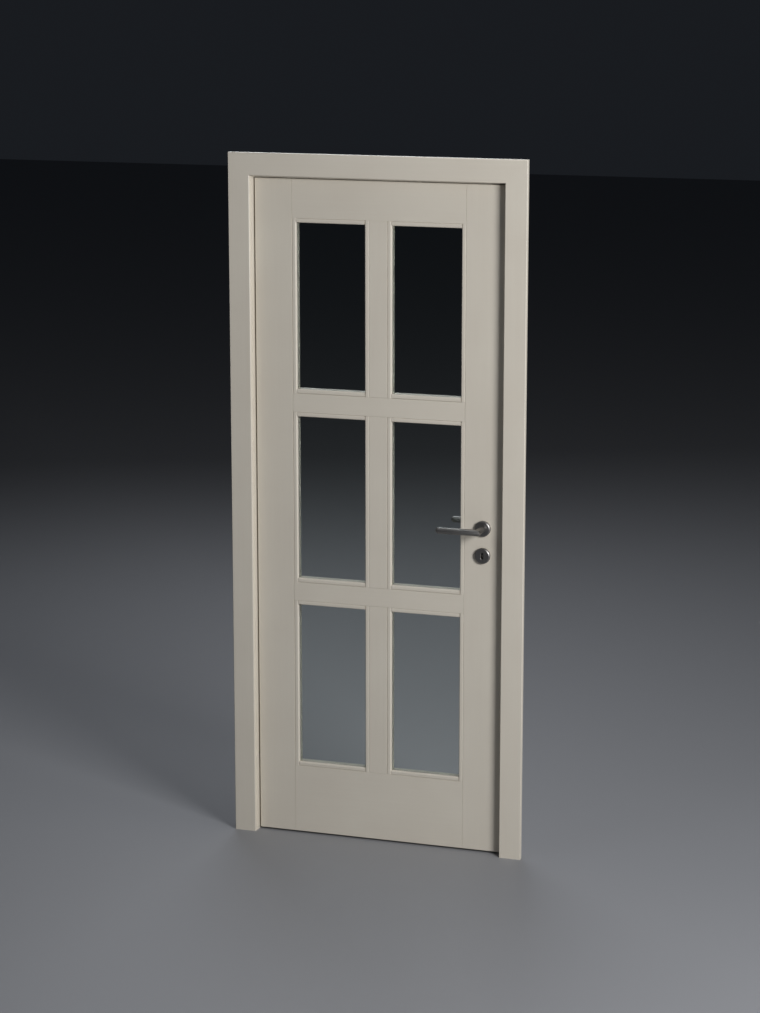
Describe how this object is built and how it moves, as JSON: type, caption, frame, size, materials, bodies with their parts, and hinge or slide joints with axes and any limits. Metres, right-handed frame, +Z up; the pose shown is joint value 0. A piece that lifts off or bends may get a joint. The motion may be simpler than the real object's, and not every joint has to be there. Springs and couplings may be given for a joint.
{
  "type": "glazed interior door",
  "caption": "Hinged interior door: a painted timber leaf with glass panes, in its frame with a flat casing, with lever handles and a keyhole.",
  "frame": {"origin": "on the outer face of the hinge-side jamb, at floor level and in the plane of the wall that the casing lies on", "axes": "+Z up, +X across the doorway from the hinge side to the lock side, +Y through the wall towards the side the leaf opens to"},
  "size_m": [0.95, 0.19, 2.1725],
  "materials": {
    "painted_wood": "satin paint",
    "clear_glass": "clear",
    "dark_metal": "satin",
    "satin_steel": "satin",
    "seal_rubber": "matte"
  },
  "bodies": {
    "frame": {"jamb_hinge_side": "painted_wood", "jamb_lock_side": "painted_wood", "head_jamb": "painted_wood", "casing_hinge_side": "painted_wood", "casing_lock_side": "painted_wood", "casing_head": "painted_wood", "seal": "seal_rubber", "strike_plate": "satin_steel", "frame_hinge_bottom": "satin_steel", "frame_hinge_middle": "satin_steel", "frame_hinge_top": "satin_steel"},
    "leaf": {"back_beads_bottom": "painted_wood", "back_beads_middle": "painted_wood", "back_beads_top": "painted_wood", "bottom_rail": "painted_wood", "front_beads_bottom": "painted_wood", "front_beads_middle": "painted_wood", "front_beads_top": "painted_wood", "glass_bottom_left": "clear_glass", "glass_bottom_right": "clear_glass", "glass_middle_left": "clear_glass", "glass_middle_right": "clear_glass", "glass_top_left": "clear_glass", "glass_top_right": "clear_glass", "key_rose_back": "dark_metal", "key_rose_front": "dark_metal", "leaf_hinge_bottom": "satin_steel", "leaf_hinge_middle": "satin_steel", "leaf_hinge_top": "satin_steel", "lever_rose_back": "dark_metal", "lever_rose_front": "dark_metal", "lock": "satin_steel", "lock_bolts": "satin_steel", "lower_cross_rail": "painted_wood", "mullion_bottom": "painted_wood", "mullion_middle": "painted_wood", "mullion_top": "painted_wood", "stile_hinge_side": "painted_wood", "stile_lock_side": "painted_wood", "top_rail": "painted_wood", "upper_cross_rail": "painted_wood"},
    "levers": {"lever_front": "dark_metal", "lever_back": "dark_metal", "spindle": "satin_steel"}
  },
  "joints": [
    {"name": "leaf_swing", "type": "hinge", "parent": "frame", "child": "leaf", "pos_m": [0.0245, 0.0573, 0], "axis": [0, 0, 1], "range_deg": [0, 170]},
    {"name": "lever_turn", "type": "hinge", "parent": "leaf", "child": "levers", "pos_m": [0.7822, 0.014, 1.043], "axis": [0, -1, 0], "range_deg": [0, 40], "stiffness_Nm_per_rad": 1.2, "springref_deg": -34.38}
  ]
}
